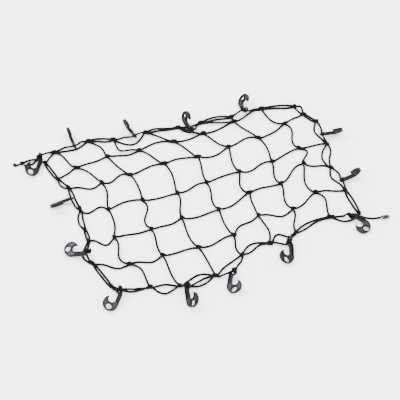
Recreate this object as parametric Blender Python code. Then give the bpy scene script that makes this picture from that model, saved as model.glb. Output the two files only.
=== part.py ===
"""Cargo net: elastic cord knotted in a square mesh, with a doubled border cord and 14 plastic hooks.

The net lies loose on a floor at z = 0, its long cords along X.  Metres, +Z up.
Where each knot and hook lies is read on a board of small squares seen at a slant from VIEW_REACH
away: u counts squares to the right and v counts them towards the viewer.
"""
import math

import bmesh
import bpy
from mathutils import Matrix, Vector

# ---- driving sizes -------------------------------------------------------------------------------
CORD = 0.005              # elastic cord, diameter
KNOT = 0.0098             # widest turn of a knot
KNOT_WAIST = 0.78         # groove between a knot's turns, as a share of its widest turn
CROSS_LIFT = 0.004        # how far the cross cords arch off the floor between knots
GAP = 0.0003              # clearance between pieces

HOOK_BODY_R = 0.0190      # outer radius of the hook's bend
HOOK_THICK = 0.0060
HOOK_HOLE_R = 0.0073      # small round hole in the bend
HOOK_HOLE_X = 0.0092      # its centre, from the bend's centre towards the toe
HOOK_MOUTH_R = 0.0086     # round mouth that a rail or bar goes into
HOOK_MOUTH = (-0.0107, 0.0012)
HOOK_BACK_TURN = -95      # where the bend leaves the shank's back, degrees round the bend from the toe
HOOK_TIP_TURN = 152       # where the tip ends
HOOK_TIP_INNER = 128      # the tip's inner corner, degrees round the mouth
HOOK_THROAT_TURN = -90    # where the mouth runs into the shank
EYE_TURNS = (-20, -110)   # part of the eye's ring that the shank's outline follows
HOOK_EYE = (-0.0387, -0.0045)
HOOK_BACK = [(-0.0412, -0.0122), (-0.0360, -0.0156), (-0.0290, -0.0172)]   # shank's back, from the eye
EYE_RING_R = 0.0064       # ring that the border cord is threaded through, to the wire's centre
EYE_WIRE_R = 0.0026

# ---- board on which the lay is read ----------------------------------------------------------------
SQUARE = 0.00255          # one square of the board, at its middle
VIEW_REACH = 3.6          # from the viewpoint to the board's middle
VIEW_SLANT = math.radians(49.8)
BOARD_MID = (200.0, 200.0)
LAY_TURN = math.radians(-24.6)

# Knots: name, u and v where the strands enter, u and v where they leave.
MESH_KNOTS = [
    ("A1", 72.5, 167.5, 77.0, 167.5), ("A2", 99.5, 181.5, 103.0, 183.0),
    ("A3", 106.5, 209.0, 110.0, 209.5), ("A4", 111.5, 237.0, 116.0, 237.0),
    ("A5", 126.5, 264.5, 130.5, 263.0), ("B1", 103.0, 155.8, 109.5, 156.5),
    ("B2", 126.5, 174.0, 133.0, 175.0), ("B3", 141.0, 198.0, 143.5, 201.0),
    ("B4", 149.0, 228.0, 153.0, 229.5), ("B5", 159.5, 254.0, 165.0, 256.0),
    ("C1", 136.5, 150.0, 141.0, 150.0), ("C2", 158.5, 163.0, 168.0, 163.5),
    ("C3", 174.5, 192.5, 179.0, 192.5), ("C4", 179.5, 216.0, 183.5, 219.0),
    ("C5", 195.0, 246.5, 201.0, 247.5), ("D1", 168.5, 141.0, 177.0, 141.5),
    ("D2", 193.5, 156.5, 200.5, 156.5), ("D3", 204.5, 181.0, 208.0, 183.0),
    ("D4", 216.0, 209.0, 220.5, 209.0), ("D5", 229.0, 233.0, 236.5, 236.5),
    ("E1", 197.5, 133.3, 206.0, 133.0), ("E2", 224.5, 146.0, 231.0, 147.0),
    ("E3", 236.5, 171.0, 241.0, 171.5), ("E4", 243.0, 193.0, 253.0, 192.0),
    ("E5", 256.0, 214.5, 259.5, 215.5), ("F1", 230.0, 121.0, 236.5, 121.5),
    ("F2", 256.5, 136.8, 261.0, 138.8), ("F3", 268.5, 159.5, 274.0, 162.5),
    ("F4", 277.5, 183.5, 283.5, 183.0), ("F5", 290.0, 208.5, 295.0, 208.5),
    ("G2", 280.0, 124.0, 287.5, 123.0), ("G3", 296.0, 147.5, 300.0, 148.0),
    ("G4", 301.0, 162.0, 305.0, 164.0), ("G5", 311.5, 192.8, 316.5, 191.5),
]
# Border knots, clockwise from the back left corner.
BORDER_KNOTS = [
    ("back0", 46.0, 164.5, 43.5, 161.5), ("back1", 50.0, 153.5, 56.0, 151.5),
    ("back2", 83.0, 142.0, 90.0, 140.5), ("back3", 110.0, 139.0, 116.0, 140.0),
    ("back4", 141.0, 132.0, 148.0, 132.5), ("back5", 172.5, 127.5, 181.0, 127.5),
    ("back6", 197.0, 124.0, 202.0, 122.0), ("back7", 228.5, 116.8, 233.5, 117.0),
    ("back8", 256.5, 109.3, 263.0, 108.0), ("right0", 292.5, 105.5, 295.5, 107.0),
    ("right1", 301.0, 113.0, 305.5, 115.5), ("right2", 312.5, 121.0, 318.0, 121.5),
    ("right3", 324.5, 141.5, 328.0, 146.0), ("right4", 327.5, 165.0, 332.5, 169.0),
    ("right5", 344.0, 188.5, 346.0, 192.0), ("right6", 357.5, 211.0, 359.5, 214.5),
    ("front1", 338.0, 217.5, 325.0, 216.5), ("front2", 297.0, 230.0, 293.0, 235.5),
    ("front4", 274.0, 244.0, 266.0, 242.5), ("front5", 244.0, 251.5, 240.5, 256.5),
    ("front6", 221.0, 276.5, 211.5, 274.5), ("front7", 181.5, 285.5, 177.5, 285.5),
    ("front8", 153.0, 286.8, 147.0, 286.5), ("front9", 112.5, 287.5, 110.0, 285.5),
    ("left1", 96.0, 266.0, 89.0, 261.5), ("left2", 88.0, 243.0, 88.0, 239.5),
    ("left3", 85.0, 231.0, 84.0, 228.0), ("left4", 81.0, 213.5, 78.5, 206.0),
    ("left5", 70.0, 190.0, 66.5, 186.0), ("left6", 60.0, 181.5, 55.5, 177.5),
]

# Mesh cords: from a knot's leaving end to the next knot's entering end ("~" takes the other end).
# Columns: from, to, bow and sway.  bow is the bulge at the middle and sway the S on top of it, in
# squares to the left of the way.
LONG_SPANS = [
    ("left6", "A1", -1.0, 0.2), ("A1", "B1", -0.6, 0.6), ("B1", "C1", -2.0, 0.8),
    ("C1", "D1", 3.1, -0.2), ("D1", "E1", -2.0, 0.0), ("E1", "F1", -1.8, -0.3),
    ("F1", "back8", 0.5, -0.8), ("~left5", "A2", -2.9, 2.0), ("A2", "B2", 0.3, -2.2),
    ("B2", "C2", 1.4, -0.5), ("C2", "D2", 2.0, 0.4), ("D2", "E2", -4.3, 0.0), ("E2", "F2", 3.0, -1.0),
    ("F2", "G2", -1.8, 0.3), ("G2", "right1", 0.9, 0.4), ("~left4", "A3", 0.5, -2.7),
    ("A3", "B3", 2.8, 0.0), ("B3", "C3", -1.3, -0.2), ("C3", "D3", 0.0, -1.2), ("D3", "E3", 1.0, 0.0),
    ("E3", "F3", -1.4, -1.7), ("F3", "G3", 0.6, -0.2), ("G3", "right3", 0.1, -0.4),
    ("left2", "A4", -4.8, 2.8), ("A4", "B4", -0.9, 0.6), ("B4", "C4", -1.9, 0.8),
    ("C4", "D4", -2.2, -0.5), ("D4", "E4", -3.0, -0.4), ("E4", "F4", 1.1, 0.6),
    ("F4", "G4", 1.5, -1.3), ("G4", "right4", -0.7, -0.9), ("~left1", "A5", -2.5, 2.0),
    ("A5", "B5", -2.9, 1.8), ("B5", "C5", 0.0, -0.5), ("C5", "D5", -1.6, -1.0), ("D5", "E5", 2.2, 2.0),
    ("E5", "F5", -3.9, 2.1), ("F5", "G5", -2.1, -0.6), ("G5", "right5", 0.6, 0.7),
    ("back5", "E1", -1.5, -0.6),
]
CROSS_SPANS = [
    ("back1", "A1", 1.5, 0.9), ("A1", "A2", 2.5, 0.5), ("A2", "A3", 2.1, 0.9), ("A3", "A4", 3.0, -0.3),
    ("A4", "A5", -3.6, 2.6), ("A5", "~front8", 4.9, 1.1), ("back2", "B1", 3.5, -0.6),
    ("B1", "B2", -1.1, 0.0), ("B2", "B3", 1.6, 0.0), ("B3", "B4", -1.1, 3.2), ("B4", "B5", -0.7, 0.8),
    ("B5", "~front7", -1.6, 0.5), ("back3", "C1", -6.0, -2.3), ("C1", "C2", 0.9, 0.4),
    ("C2", "C3", 2.4, 0.4), ("C3", "C4", 0.7, 1.0), ("C4", "C5", -2.6, 0.4),
    ("C5", "~front6", 0.5, 0.0), ("back4", "D1", 0.5, 0.2), ("D1", "D2", 0.7, 0.2),
    ("D2", "D3", -0.5, 0.5), ("D3", "D4", -1.4, 1.3), ("D4", "D5", -1.9, 0.0),
    ("D5", "~front5", -2.9, 0.8), ("E1", "E2", -1.3, 0.5),
    ("E2", "E3", -2.4, 0.4), ("E3", "E4", -4.0, 0.7), ("E4", "E5", -1.0, -0.4),
    ("E5", "~front4", 3.8, -0.9), ("back6", "F1", -0.3, 0.3), ("F1", "F2", -0.5, -0.4),
    ("F2", "F3", 2.3, 0.0), ("F3", "F4", -2.7, 0.8), ("F4", "F5", -3.3, 1.1),
    ("F5", "front2", -0.5, 1.2), ("back8", "G2", -3.8, 0.4), ("G2", "G3", 0.5, 2.5),
    ("G3", "G4", 6.0, 2.2), ("G4", "G5", -4.8, 0.9), ("G5", "~front1", 4.3, 1.8),
]
# Border cord, clockwise, so that a bow is outwards.  Each row is one strand of the two or three.
# Columns: from, to, bow, sway, number of the hook that the strand is threaded through or 0.
BORDER_SPANS = [
    ("back0", "back1", 7.0, 0.0, 1), ("back0", "back1", -0.4, 0.0, 0),
    ("back1", "back2", 1.8, -0.5, 2), ("back1", "back2", -3.3, 0.8, 0),
    ("back2", "back3", 1.9, 0.2, 0), ("back2", "back3", -0.9, 0.6, 0),
    ("back3", "back4", 0.5, -0.8, 3), ("back3", "back4", -8.6, 0.8, 0),
    ("back4", "back5", 1.8, 0.8, 0), ("back4", "back5", -0.2, 0.2, 0),
    ("back5", "back6", -1.0, 0.0, 0), ("back5", "back6", -2.7, 0.0, 4),
    ("back6", "back7", 3.2, 0.0, 0), ("back6", "back7", 0.5, 0.1, 0), ("back7", "back8", 3.1, 0.4, 5),
    ("back7", "~F1", -0.6, 0.0, 0), ("back8", "right0", 2.0, -0.1, 0),
    ("back8", "right0", -0.6, 0.4, 0), ("right0", "right1", 3.6, 0.8, 0),
    ("right0", "right1", -1.0, 0.0, 0), ("right1", "right2", 1.2, 0.0, 0),
    ("right1", "right2", -1.0, 0.0, 0), ("right2", "right3", 0.9, 0.2, 6),
    ("right2", "right3", -5.0, -1.5, 0), ("right3", "right4", 1.4, 1.2, 0),
    ("right3", "right4", -6.6, 0.0, 0), ("right4", "right5", 3.5, 0.3, 7),
    ("right4", "right5", -3.4, -2.0, 0), ("right5", "right6", 1.9, 0.0, 0),
    ("right5", "right6", -1.6, -0.2, 0), ("right6", "front1", 5.5, 0.0, 0),
    ("right6", "front1", 0.0, 0.0, 8), ("front1", "front2", -0.9, -1.0, 0),
    ("front1", "front2", -3.8, 0.3, 0), ("front2", "front4", -4.5, 3.2, 0),
    ("front2", "front4", 1.0, 0.0, 9), ("front4", "front5", -1.0, -1.6, 0),
    ("front4", "front5", -5.6, 0.7, 0), ("front5", "front6", 4.8, 1.2, 10),
    ("front5", "front6", -2.2, 0.6, 0), ("front6", "front7", -5.4, -0.8, 0),
    ("front6", "front7", 0.3, 0.0, 11), ("front6", "front7", 5.5, 0.4, 0),
    ("front7", "front8", -2.0, 0.0, 0), ("front7", "front8", 7.0, -0.5, 0),
    ("front8", "front9", 2.2, -0.5, 12), ("front8", "front9", 4.6, 0.2, 0),
    ("front9", "left1", 1.5, 0.0, 0), ("front9", "left1", -1.2, 0.0, 0),
    ("left1", "left2", 7.5, 1.0, 0), ("left1", "left2", 4.0, 0.8, 13), ("left2", "left3", 1.0, 0.0, 0),
    ("left2", "left3", -1.8, 0.0, 0), ("left3", "left4", 4.4, 0.0, 0),
    ("left3", "left4", -0.4, 0.0, 0), ("left4", "left5", 3.8, 0.5, 14),
    ("left4", "left5", -0.6, 0.3, 0), ("left5", "left6", 3.0, 0.0, 0),
    ("left5", "left6", -0.8, 0.0, 0), ("left6", "back0", 1.5, 0.0, 0),
    ("left6", "back0", -1.2, 0.0, 0),
]

# Hooks: number, u and v of the eye, u and v of the toe, side of the mouth (+1 left of the way from
# eye to toe), lean in degrees of the mouth side off the floor, dip in degrees of the toe, and how
# many mm above the floor it rests, on a cord that it lies across.
HOOKS = [
    (1, 38.8, 156.9, 29.3, 173.1, -1, 27.0, 12.0, 0.0), (2, 74.0, 144.8, 67.2, 129.3, -1, 96.0, 0.0, 0.0),
    (3, 134.3, 134.6, 123.4, 120.4, -1, 103.0, 3.0, 0.0), (4, 191.6, 129.0, 181.9, 114.3, -1, 72.0, -4.5, 4.8),
    (5, 245.4, 109.4, 240.2, 93.8, -1, 48.0, 9.0, 0.0), (6, 322.0, 133.0, 342.3, 126.8, 1, 120.0, 12.0, 0.0),
    (7, 341.4, 178.8, 360.1, 169.5, 1, 104.0, 3.0, 0.0), (8, 351.8, 215.7, 370.9, 227.8, -1, -8.0, 8.0, 0.0),
    (9, 288.4, 242.7, 287.7, 261.8, -1, 24.0, 8.0, 0.0), (10, 233.4, 271.8, 231.6, 291.5, 1, 22.0, 8.0, 0.0),
    (11, 187.7, 285.4, 192.5, 305.1, 1, 49.0, 12.0, 0.0), (12, 118.5, 290.0, 107.3, 308.4, -1, 20.0, 12.0, 0.0),
    (13, 85.7, 250.4, 62.0, 247.4, -1, 18.0, 12.0, 0.0), (14, 70.4, 198.2, 48.4, 205.7, 1, 44.0, 3.0, 0.0),
]

# Loose ends of the border cord, each a piece of its own that starts just clear of the net: u, v and
# height in mm of points along them, from the net outwards.
LEFT_TAILS = [
    [(38.4, 157.9, 6.0), (34.2, 159.1, 2.5), (31.0, 159.4, 2.2), (27.0, 160.4, 2.2), (23.8, 161.8, 3.4),
     (21.4, 163.1, 4.2)],
    [(38.0, 158.7, 6.0), (34.8, 161.2, 2.5), (32.0, 163.5, 2.2), (28.5, 164.8, 2.2), (25.6, 165.3, 3.2),
     (23.6, 164.9, 4.2)],
    [(22.0, 163.6, 4.2), (19.5, 163.7, 2.6), (16.8, 164.6, 2.2), (14.8, 165.6, 2.6)],
]
LEFT_TAIL_KNOTS = [((25.4, 165.6), (20.4, 162.5)), ((15.6, 165.2), (12.8, 166.2))]
RIGHT_TAILS = [[(359.8, 215.5, 3.0), (363.5, 216.8, 2.2), (367.0, 217.5, 2.2), (373.0, 218.0, 2.2),
                (380.0, 217.0, 4.2)]]
CLIP_LENGTH = 0.022
CLIP_WIDE = 0.0105
CLIP_SHARES = (0.0, 0.2, 0.8, 1.0)          # where the clip's ends taper, along its length
CLIP_WIDTHS = (0.7, 1.0, 1.0, 0.7)

LONG_SHARES = (0.0, 0.18, 0.5, 0.82, 1.0)   # where a mesh cord's bends lie along it
BORDER_SHARES = (0.0, 0.15, 0.38, 0.62, 0.85, 1.0)
KNOT_WIDTHS = (0.45, 1.0, KNOT_WAIST, 1.0, 0.45)
KNOT_INSET = 0.35         # how far a cord's end reaches into a knot, as a share of its length
STRAND_APART = 0.0024     # half the distance between the two border strands where they leave a knot
THREAD_RUN = 0.0085       # straight run of a threaded strand each side of the eye's middle
THREAD_SLANT = 0.35       # how far that run leans from the eye's axis along the border
HAIRPIN = 0.040           # a shorter span turns back on itself at the hook
HAIRPIN_SLANT = 0.1
EYE_SEAT = 0.0008         # the strand bears on the far side of the ring, this far from its middle
HAIRPIN_SEAT = 0.0014
EYE_CLEAR = 0.018         # a threaded strand's other points keep this far from the eye's middle
LYING_AXIS = 0.75         # upright share of an eye's axis from which its strand is led over the ring
SHOULDER_OUT = 0.0125     # that strand then clears the ring by a point this far from its middle
SHOULDER_UP = 0.0063      # and this far above it
ARC_STEP = 20             # degrees between the points of an arc
HOLE_SIDES = 14
MERGE = 0.00002
NET_THINNING = 0.62       # share of the net's faces that is kept
FLOOR_SNAP = 0.0004       # the net's undersides this near the floor are laid flat on it
HEX = math.cos(math.pi / 6)                 # a six-sided cord's half height, as a share of its radius
CORD_REST = CORD / 2 * HEX
KNOT_REST = KNOT / 2 * HEX

COLORS = {
    "cord": (0.012, 0.012, 0.014),
    "hook_plastic": (0.045, 0.042, 0.050),
    "clip_plastic": (0.020, 0.020, 0.024),
}


def on_floor(u, v, z=0.0):
    """The point at height z seen on the board at (u, v), before the whole is centred."""
    reach_squares = VIEW_REACH / SQUARE
    across = u - BOARD_MID[0]
    down = v - BOARD_MID[1]
    sin_slant = math.sin(VIEW_SLANT)
    cos_slant = math.cos(VIEW_SLANT)
    ray = (VIEW_REACH * sin_slant - z) / (reach_squares * sin_slant + down * cos_slant)
    x = ray * across
    y = ray * (reach_squares * cos_slant - down * sin_slant) - VIEW_REACH * cos_slant
    turned = Matrix.Rotation(LAY_TURN, 3, "Z") @ Vector((x, y, 0.0))
    return turned + Vector((0.0, 0.0, z))


def make_solid(name, mesh):
    """A linked object for a mesh."""
    solid = bpy.data.objects.new(name, mesh)
    bpy.context.scene.collection.objects.link(solid)
    return solid


def mesh_from_curve(curve):
    """The curve as a closed mesh object; the curve is used up."""
    guide = bpy.data.objects.new(curve.name, curve)
    bpy.context.scene.collection.objects.link(guide)
    depsgraph = bpy.context.evaluated_depsgraph_get()
    mesh = bpy.data.meshes.new_from_object(guide.evaluated_get(depsgraph))
    mesh.transform(guide.matrix_world)
    name = curve.name
    bpy.data.objects.remove(guide)
    bpy.data.curves.remove(curve)
    shape = bmesh.new()
    shape.from_mesh(mesh)
    bmesh.ops.remove_doubles(shape, verts=shape.verts, dist=MERGE)
    bmesh.ops.recalc_face_normals(shape, faces=shape.faces)
    shape.to_mesh(mesh)
    shape.free()
    return make_solid(name, mesh)


def tubes(name, routes, radius):
    """Closed six-sided tubes along the routes, each a list of points and a list of widths."""
    curve = bpy.data.curves.new(name, "CURVE")
    curve.dimensions = "3D"
    curve.twist_mode = "Z_UP"
    curve.bevel_depth = radius
    curve.bevel_resolution = 1
    curve.use_fill_caps = True
    for points, widths in routes:
        spline = curve.splines.new("POLY")
        spline.points.add(len(points) - 1)
        for slot, point, width in zip(spline.points, points, widths):
            slot.co = (*point, 1.0)
            slot.radius = width
    return mesh_from_curve(curve)


def unite(base, added):
    """Fuse one object into another, which may overlap itself."""
    fuse = base.modifiers.new("fuse", "BOOLEAN")
    fuse.operation = "UNION"
    fuse.solver = "EXACT"
    fuse.use_self = True
    fuse.object = added
    depsgraph = bpy.context.evaluated_depsgraph_get()
    mesh = bpy.data.meshes.new_from_object(base.evaluated_get(depsgraph))
    base.modifiers.remove(fuse)
    base.data = mesh
    bpy.data.objects.remove(added)


# ---- hooks -----------------------------------------------------------------------------------------
def arc(middle, radius, first, last):
    """Points on an arc, from angle first to angle last in degrees, ends included."""
    steps = max(2, round(abs(last - first) / ARC_STEP))
    points = []
    for i in range(steps + 1):
        angle = math.radians(first + (last - first) * i / steps)
        points.append((middle[0] + radius * math.cos(angle), middle[1] + radius * math.sin(angle)))
    return points


def hook_outline():
    """Round bend with a tip, a round mouth and a broad shank that runs into the eye's ring."""
    outline = arc((0.0, 0.0), HOOK_BODY_R, HOOK_BACK_TURN, HOOK_TIP_TURN)
    outline += arc(HOOK_MOUTH, HOOK_MOUTH_R, HOOK_TIP_INNER, HOOK_THROAT_TURN)
    outline += arc(HOOK_EYE, EYE_RING_R, *EYE_TURNS)
    return outline + HOOK_BACK


def hook_mesh():
    """One hook, its bend's centre at the origin, toe along X and mouth side along Y."""
    curve = bpy.data.curves.new("hook", "CURVE")
    curve.dimensions = "2D"
    curve.fill_mode = "BOTH"
    curve.extrude = HOOK_THICK / 2
    hole = arc((HOOK_HOLE_X, 0.0), HOOK_HOLE_R, 360, 360 / HOLE_SIDES)
    for points in (hook_outline(), hole):
        spline = curve.splines.new("POLY")
        spline.points.add(len(points) - 1)
        spline.use_cyclic_u = True
        for slot, point in zip(spline.points, points):
            slot.co = (*point, 0.0, 1.0)
    body = mesh_from_curve(curve)
    bpy.ops.mesh.primitive_torus_add(
        location=(*HOOK_EYE, 0.0), major_radius=EYE_RING_R, minor_radius=EYE_WIRE_R,
        major_segments=12, minor_segments=6)
    ring = bpy.context.active_object
    ring.data.transform(ring.matrix_world)
    ring.location = (0.0, 0.0, 0.0)
    unite(body, ring)
    mesh = body.data
    bpy.data.objects.remove(body)
    return mesh


def place_hook(plain, row):
    """A hook laid on the floor, with its eye's centre, the eye's axis and the way to the toe."""
    number, eye_u, eye_v, toe_u, toe_v, mouth_side, lean, dip, rise = row
    level = (on_floor(toe_u, toe_v) - on_floor(eye_u, eye_v)).normalized()
    up = Vector((0.0, 0.0, 1.0))
    heading = Matrix.Rotation(math.radians(dip), 3, up.cross(level)) @ level
    over = heading.cross(up.cross(level))
    lean_turn = math.radians(lean)
    mouth = math.cos(lean_turn) * mouth_side * up.cross(level) + math.sin(lean_turn) * over
    axis = heading.cross(mouth)
    turn = Matrix((heading, mouth, axis)).transposed()
    eye_plain = Vector((*HOOK_EYE, 0.0))
    height = rise / 1000 - min((turn @ (corner.co - eye_plain)).z for corner in plain.vertices)
    eye = on_floor(eye_u, eye_v, height)
    mesh = plain.copy()
    mesh.transform(Matrix.Translation(eye) @ turn.to_4x4() @ Matrix.Translation(-eye_plain))
    return make_solid(f"hook_{number:02d}", mesh), eye, axis, heading


# ---- cords -----------------------------------------------------------------------------------------
def knot_table():
    """Board readings of both ends of each knot."""
    return {name: ((u_in, v_in), (u_out, v_out))
            for name, u_in, v_in, u_out, v_out in MESH_KNOTS + BORDER_KNOTS}


def span_ends(knots, start, stop):
    """Board readings of a span's two ends, each a little way inside its knot."""
    first_knot = knots[start.lstrip("~")]
    last_knot = knots[stop.lstrip("~")]
    first = first_knot[::-1] if not start.startswith("~") else first_knot
    last = last_knot if not stop.startswith("~") else last_knot[::-1]
    return [tuple(near + (far - near) * KNOT_INSET for near, far in zip(*end)) for end in (first, last)]


def board_bulge(start, stop, bow, sway, share):
    """Board reading a share of the way along a span that bulges by bow and sways by sway."""
    du = stop[0] - start[0]
    dv = stop[1] - start[1]
    length = math.hypot(du, dv)
    aside = bow * math.sin(math.pi * share) + sway * math.sin(2 * math.pi * share)
    return start[0] + du * share + aside * dv / length, start[1] + dv * share - aside * du / length


def cord_height(share, lift):
    """Height of a cord's middle line a share of the way between two knots."""
    sag = abs(2 * share - 1) ** 4
    return CORD_REST + (KNOT_REST - CORD_REST) * sag + lift * math.sin(math.pi * share)


def mesh_route(knots, span, lift):
    """Middle line of one mesh cord."""
    start, stop, bow, sway = span
    ends = span_ends(knots, start, stop)
    points = []
    for share in LONG_SHARES:
        u, v = board_bulge(*ends, bow, sway, share)
        points.append(on_floor(u, v, cord_height(share, lift)))
    return points


def border_route(knots, span, side, eyes):
    """Middle line of one border strand, which sets off to one side of its fellow."""
    start, stop, bow, sway, hook = span
    ends = span_ends(knots, start, stop)
    along = (on_floor(*ends[1]) - on_floor(*ends[0])).normalized()
    outwards = Vector((-along.y, along.x, 0.0))
    points = []
    for share in BORDER_SHARES:
        u, v = board_bulge(*ends, bow, sway, share)
        apart = STRAND_APART * side * abs(2 * share - 1)
        points.append(on_floor(u, v, cord_height(share, 0.0)) + outwards * apart)
    if hook:
        eye, axis, heading = eyes[hook]
        hairpin = (points[-1] - points[0]).length < HAIRPIN
        forward = axis if (axis.z if hairpin else axis.dot(along)) > 0 else -axis
        slant = HAIRPIN_SLANT if hairpin else THREAD_SLANT
        run = (forward + slant * along).normalized() * THREAD_RUN
        seat = eye - heading * (HAIRPIN_SEAT if hairpin else EYE_SEAT)
        clear = EYE_CLEAR * (2 if hairpin else 1)
        before = [point for point in points[:3] if (eye - point).dot(along) > clear] or points[:1]
        after = [point for point in points[3:] if (point - eye).dot(along) > clear] or points[-1:]
        before.append(seat - run)
        after.insert(0, seat + run)
        if abs(axis.z) > LYING_AXIS:
            beyond = after[1] if run.z > 0 else before[-2]
            up_axis = axis if axis.z > 0 else -axis
            out = beyond - eye
            out = (out - up_axis * out.dot(up_axis)).normalized()
            shoulder = eye + out * SHOULDER_OUT + up_axis * SHOULDER_UP
            if run.z > 0:
                after.insert(1, shoulder)
            else:
                before.insert(-1, shoulder)
        points = before + after
    return points


def tail_route(rows):
    """Middle line of a loose end."""
    return [on_floor(u, v, height / 1000) for u, v, height in rows]


def knot_route(knot):
    """Middle line of a knot."""
    first = on_floor(*knot[0], KNOT_REST)
    last = on_floor(*knot[1], KNOT_REST)
    rows = len(KNOT_WIDTHS) - 1
    return [first.lerp(last, i / rows) for i in range(rows + 1)]


def trim_fins(mesh):
    """Remove faces that hang on by one edge, which thinning can leave where two strands touch."""
    shape = bmesh.new()
    shape.from_mesh(mesh)
    fins = [face for face in shape.faces if sum(edge.is_boundary for edge in face.edges) > 1]
    bmesh.ops.delete(shape, geom=fins, context="FACES")
    shape.to_mesh(mesh)
    shape.free()


def build_net(eyes):
    """Every knot and strand, fused into one solid."""
    knots = knot_table()
    routes = [mesh_route(knots, span, 0.0) for span in LONG_SPANS]
    routes += [mesh_route(knots, span, CROSS_LIFT) for span in CROSS_SPANS]
    seen = set()
    for span in BORDER_SPANS:
        side = -1 if span[0] in seen else 1
        seen.add(span[0])
        routes.append(border_route(knots, span, side, eyes))
    strands = tubes("strands", [(points, [1.0] * len(points)) for points in routes], CORD / 2)
    net = tubes("net", [(knot_route(knot), KNOT_WIDTHS) for knot in knots.values()], KNOT / 2)
    unite(net, strands)
    thin = net.modifiers.new("thin", "DECIMATE")
    thin.ratio = NET_THINNING
    thin.use_collapse_triangulate = True
    depsgraph = bpy.context.evaluated_depsgraph_get()
    mesh = bpy.data.meshes.new_from_object(net.evaluated_get(depsgraph))
    net.modifiers.remove(thin)
    net.data = mesh
    trim_fins(mesh)
    for corner in mesh.vertices:
        if corner.co.z < FLOOR_SNAP:
            corner.co.z = 0.0
    return net


def build_loose_end(name, tails, knots):
    """A loose end of the border cord, with the knots in it."""
    strands = [(tail_route(rows), [1.0] * len(rows)) for rows in tails]
    loose_end = tubes(name, strands[:1], CORD / 2)
    if strands[1:]:
        unite(loose_end, tubes("strands", strands[1:], CORD / 2))
    if knots:
        unite(loose_end, tubes("knots", [(knot_route(knot), KNOT_WIDTHS) for knot in knots], KNOT / 2))
    return loose_end


def build_clip():
    """Small round-edged clip at the free end of the right tail."""
    before, cord_end = tail_route(RIGHT_TAILS[0])[-2:]
    along = (cord_end - before).to_2d().normalized().to_3d()
    first = cord_end + along * (GAP + CORD / 2 * abs((cord_end - before).normalized().z))
    first.z = CLIP_WIDE / 2 * HEX
    points = [first + along * CLIP_LENGTH * share for share in CLIP_SHARES]
    return tubes("end_clip", [(points, CLIP_WIDTHS)], CLIP_WIDE / 2)


def paint(solid, color_name, roughness):
    """Give a solid a material of its own."""
    material = bpy.data.materials.new(solid.name)
    material.use_nodes = True
    shader = material.node_tree.nodes["Principled BSDF"]
    shader.inputs["Base Color"].default_value = (*COLORS[color_name], 1.0)
    shader.inputs["Roughness"].default_value = roughness
    shader.inputs["Metallic"].default_value = 0.0
    solid.data.materials.clear()
    solid.data.materials.append(material)


def centre(solids):
    """Move all solids so that the middle of the whole's underside is the origin."""
    corners = [corner.co for solid in solids for corner in solid.data.vertices]
    lows = [min(corner[i] for corner in corners) for i in range(3)]
    highs = [max(corner[i] for corner in corners) for i in range(3)]
    shift = Vector((-(lows[0] + highs[0]) / 2, -(lows[1] + highs[1]) / 2, -lows[2]))
    for solid in solids:
        solid.data.transform(Matrix.Translation(shift))


def main():
    for old in list(bpy.data.objects):
        bpy.data.objects.remove(old)
    plain = hook_mesh()
    hooks = []
    eyes = {}
    for row in HOOKS:
        hook, *eye = place_hook(plain, row)
        hooks.append(hook)
        eyes[row[0]] = eye
    bpy.data.meshes.remove(plain)
    net = build_net(eyes)
    cords = [net, build_loose_end("left_end", LEFT_TAILS, LEFT_TAIL_KNOTS),
             build_loose_end("right_end", RIGHT_TAILS, [])]
    clip = build_clip()
    solids = [*cords, *hooks, clip]
    centre(solids)
    collection = bpy.data.collections.new("cargo_net")
    bpy.context.scene.collection.children.link(collection)
    for solid in solids:
        bpy.context.scene.collection.objects.unlink(solid)
        collection.objects.link(solid)
    for cord in cords:
        paint(cord, "cord", 0.8)
    paint(clip, "clip_plastic", 0.5)
    for hook in hooks:
        paint(hook, "hook_plastic", 0.5)


main()
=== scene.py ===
"""Dresses the cargo net: braided elastic cords, wound knots, ribbed plastic hooks and the end clip.

The lay is worked out on the same slanted board as the solids: u counts small squares to the right
and v towards the viewer, and on_floor turns a reading into metres in the frame.
"""
import math

import bpy
from mathutils import Matrix, Vector


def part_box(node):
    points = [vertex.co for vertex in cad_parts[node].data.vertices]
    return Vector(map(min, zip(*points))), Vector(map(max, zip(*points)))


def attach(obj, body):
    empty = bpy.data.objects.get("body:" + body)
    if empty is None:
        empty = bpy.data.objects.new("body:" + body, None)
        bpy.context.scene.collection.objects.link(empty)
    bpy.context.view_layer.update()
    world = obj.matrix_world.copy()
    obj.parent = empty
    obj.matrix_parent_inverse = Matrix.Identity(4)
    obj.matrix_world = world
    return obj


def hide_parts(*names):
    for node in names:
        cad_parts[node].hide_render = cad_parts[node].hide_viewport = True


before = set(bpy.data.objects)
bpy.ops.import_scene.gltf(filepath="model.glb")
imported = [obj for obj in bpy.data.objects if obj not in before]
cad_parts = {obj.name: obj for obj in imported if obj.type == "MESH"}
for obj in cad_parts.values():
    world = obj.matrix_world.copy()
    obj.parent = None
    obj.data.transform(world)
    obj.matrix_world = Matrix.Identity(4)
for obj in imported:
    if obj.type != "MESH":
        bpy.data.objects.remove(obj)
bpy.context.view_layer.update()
bpy.ops.object.select_all(action="DESELECT")

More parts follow.
